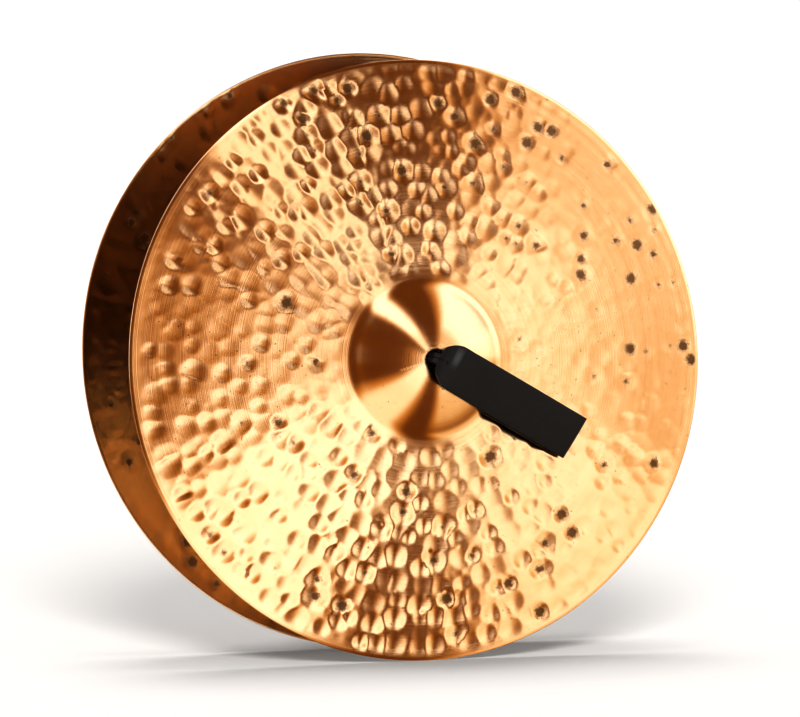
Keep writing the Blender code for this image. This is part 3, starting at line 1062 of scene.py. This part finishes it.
class CymbalSettings(bpy.types.PropertyGroup):
    """How the bronze is hammered, and its colours."""

    fine_spacing: bpy.props.FloatProperty(
        name="Fine spacing", description="Between the shallow marks", default=0.0105, unit="LENGTH"
    )
    fine_radius: bpy.props.FloatProperty(
        name="Fine radius", description="Of the shallow marks", default=0.0068, unit="LENGTH"
    )
    fine_depth: bpy.props.FloatProperty(
        name="Fine depth", description="Of the shallow marks", default=0.00016, unit="LENGTH"
    )
    deep_spacing: bpy.props.FloatProperty(
        name="Deep spacing", description="Between the deep marks", default=0.0155, unit="LENGTH"
    )
    deep_radius: bpy.props.FloatProperty(
        name="Deep radius", description="Of the deep marks", default=0.0098, unit="LENGTH"
    )
    deep_depth: bpy.props.FloatProperty(
        name="Deep depth", description="Of the deep marks", default=0.00105, unit="LENGTH"
    )
    wave_depth: bpy.props.FloatProperty(
        name="Wave depth", description="Of the sheet's slow waves", default=0.0006, unit="LENGTH"
    )
    light_side: bpy.props.FloatProperty(
        name="Light side",
        description="How much weaker the blows are on one side",
        default=0.45,
        min=0.0,
        max=1.0,
        subtype="FACTOR",
    )
    rings: bpy.props.IntProperty(name="Rings", description="Of the mesh on each face", default=108)
    gold: colour_property("Gold", "The bronze where it is palest", (0.95, 0.68, 0.38, 1))
    amber: colour_property("Amber", "The bronze where it is reddest", (0.93, 0.55, 0.25, 1))
    skin: colour_property("Dark skin", "What is left in the deepest marks", (0.16, 0.070, 0.018, 1))


class StrapSettings(bpy.types.PropertyGroup):
    """The colours of the leather, and of the highlight painted on its bend."""

    dark: colour_property("Dark", "The leather where it is darkest", (0.0120, 0.0112, 0.0108, 1))
    light: colour_property("Light", "The leather where it is palest", (0.0190, 0.0178, 0.0172, 1))
    # a painted highlight: the paler colour given to the bend at the round end
    rubbed: colour_property("Painted_highlight", "The bend at its round end", (0.085, 0.082, 0.092, 1))


class StageSettings(bpy.types.PropertyGroup):
    """The light."""

    panel_strength: bpy.props.FloatProperty(
        name="Panels",
        description="Strength of the panels that the bronze mirrors",
        default=PANEL_STRENGTH,
    )
    panel_cloud: bpy.props.FloatProperty(
        name="Clouds",
        description="How uneven the panels are",
        default=0.16,
        min=0.0,
        max=1.0,
        subtype="FACTOR",
    )
    room_strength: bpy.props.FloatProperty(
        name="Room", description="Strength of the white room", default=0.18
    )
    front_lamp: bpy.props.FloatProperty(
        name="Front lamp", description="Strength of the lamp in front", default=1.95
    )
    overhead_lamp: bpy.props.FloatProperty(
        name="Overhead lamp", description="Strength of the lamp overhead", default=1.50
    )


class CYMBALS_OT_stage(bpy.types.Operator):
    """Make the floor, the light and the camera"""

    bl_idname = "cymbals.stage"
    bl_label = "Stage"

    def execute(self, context):
        settings = context.scene.cymbal_stage
        view = context.scene.view_settings
        view.view_transform = "Standard"
        view.exposure = EXPOSURE
        view.gamma = GAMMA
        floor()
        world_light(context.scene, settings)
        lamps(settings)
        camera()
        return {"FINISHED"}


class CYMBALS_OT_cymbals(bpy.types.Operator):
    """Make the two hammered cymbals"""

    bl_idname = "cymbals.cymbals"
    bl_label = "Cymbals"

    def execute(self, context):
        settings = context.scene.cymbal_hammering
        tree = cymbal_tree(settings.rings)
        material = bronze(settings)
        for number, side in enumerate(SIDES):
            hammered_cymbal(side, tree, settings, material, FIRST_SEED + SEED_STEP * number)
        return {"FINISHED"}


class CYMBALS_OT_straps(bpy.types.Operator):
    """Make the two leather hand straps and their knots"""

    bl_idname = "cymbals.straps"
    bl_label = "Hand Straps"

    def execute(self, context):
        material = leather(context.scene.cymbal_straps)
        for side in SIDES:
            hand_strap(side, material)
            crown_knot(side, material)
        return {"FINISHED"}


class CYMBALS_PT_panel(bpy.types.Panel):
    """The pieces of the pair and their settings"""

    bl_idname = "CYMBALS_PT_panel"
    bl_label = "Clash Cymbals"
    bl_space_type = "VIEW_3D"
    bl_region_type = "UI"
    bl_category = "Cymbals"

    def draw(self, context):
        layout = self.layout
        for made in OPERATORS:
            layout.operator(made.bl_idname)
        for held_as, kind in GROUPS.items():
            box = layout.box()
            for name in kind.__annotations__:
                box.prop(getattr(context.scene, held_as), name)


GROUPS = {
    "cymbal_hammering": CymbalSettings,
    "cymbal_straps": StrapSettings,
    "cymbal_stage": StageSettings,
}
OPERATORS = (CYMBALS_OT_stage, CYMBALS_OT_cymbals, CYMBALS_OT_straps)


def register():
    for made in (*GROUPS.values(), *OPERATORS, CYMBALS_PT_panel):
        bpy.utils.register_class(made)
    for name, group in GROUPS.items():
        setattr(bpy.types.Scene, name, bpy.props.PointerProperty(type=group))


def unregister():
    for name in GROUPS:
        delattr(bpy.types.Scene, name)
    for made in (CYMBALS_PT_panel, *reversed(OPERATORS), *GROUPS.values()):
        bpy.utils.unregister_class(made)


def main():
    register()
    bpy.ops.cymbals.stage()
    bpy.ops.cymbals.cymbals()
    bpy.ops.cymbals.straps()


if __name__ == "__main__":
    main()
